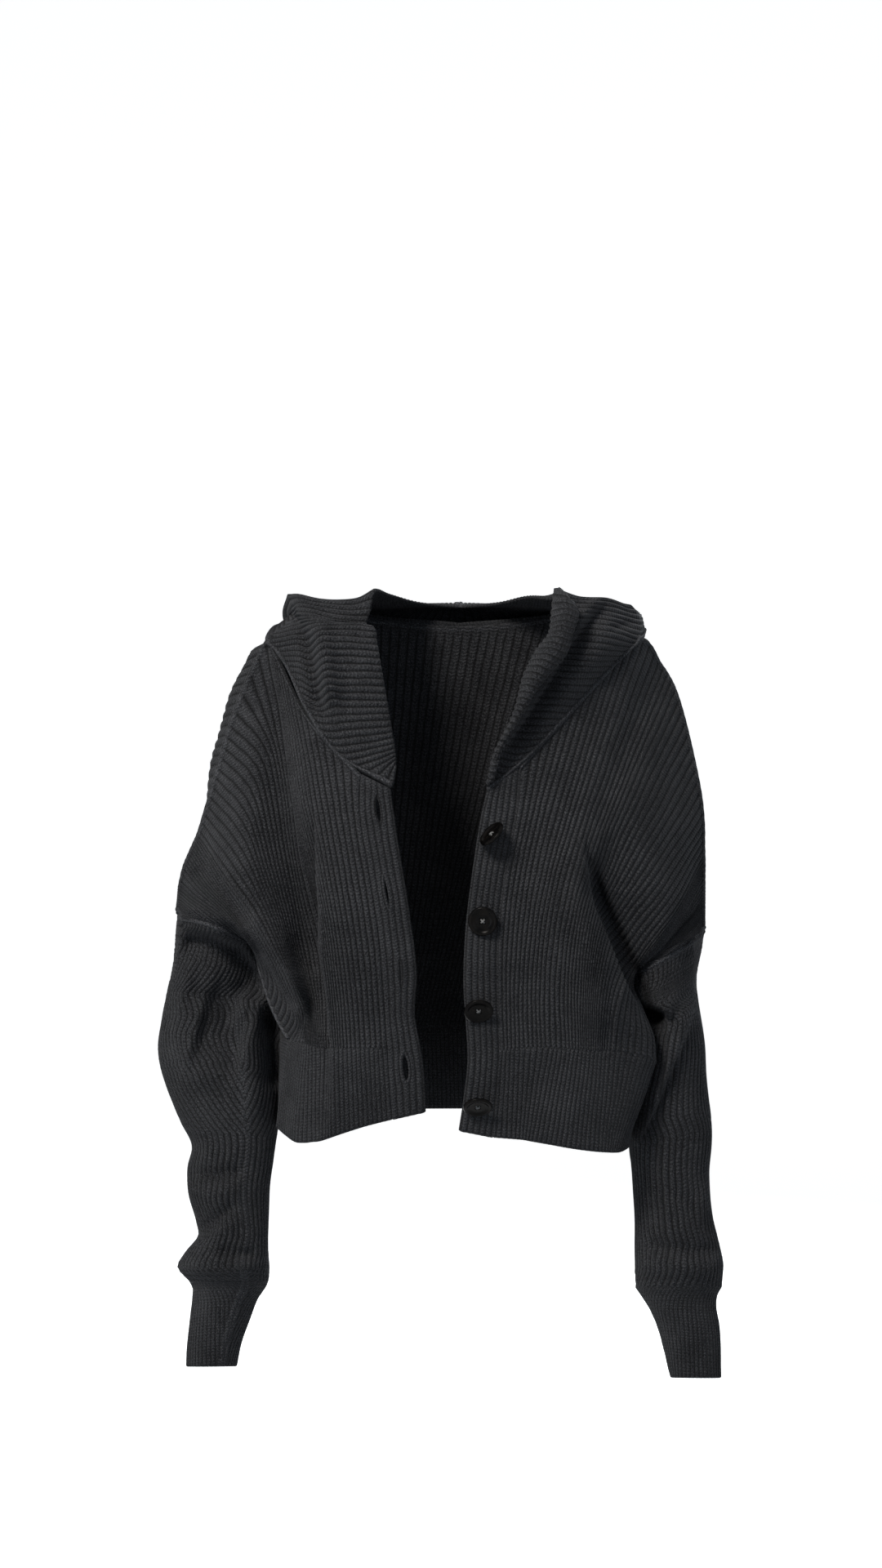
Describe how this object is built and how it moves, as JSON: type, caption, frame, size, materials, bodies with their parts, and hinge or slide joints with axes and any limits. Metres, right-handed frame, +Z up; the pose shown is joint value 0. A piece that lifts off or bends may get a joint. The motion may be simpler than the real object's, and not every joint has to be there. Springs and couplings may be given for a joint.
{
  "type": "hooded cardigan",
  "caption": "Chunky rib-knit hooded cardigan with dropped shoulders, fine-rib hem and cuffs, a buttoned front band and full sleeves, held open in its worn form.",
  "frame": {"origin": "centre of the neck opening, level with the neck corners of the shoulder seams, where the wearer's shoulders hold the garment", "axes": "+X to the viewer's right when the fronts are seen, +Y from the fronts to the back, +Z up"},
  "size_m": [0.5227, 0.3088, 0.732],
  "materials": {
    "chunky_rib": "charcoal melange wool, half-cardigan rib",
    "fine_rib": "charcoal melange wool, fine rib",
    "button_horn": "satin dark horn"
  },
  "bodies": {
    "root": {"front_right": "chunky_rib", "front_left": "chunky_rib", "back": "chunky_rib", "placket_right": "chunky_rib", "placket_left": "chunky_rib", "hem_band": "fine_rib", "sleeve_right": "chunky_rib", "sleeve_left": "chunky_rib", "cuff_right": "fine_rib", "cuff_left": "fine_rib", "hood_right": "chunky_rib", "hood_left": "chunky_rib", "button_1": "button_horn", "button_2": "button_horn", "button_3": "button_horn", "button_4": "button_horn"}
  },
  "joints": []
}
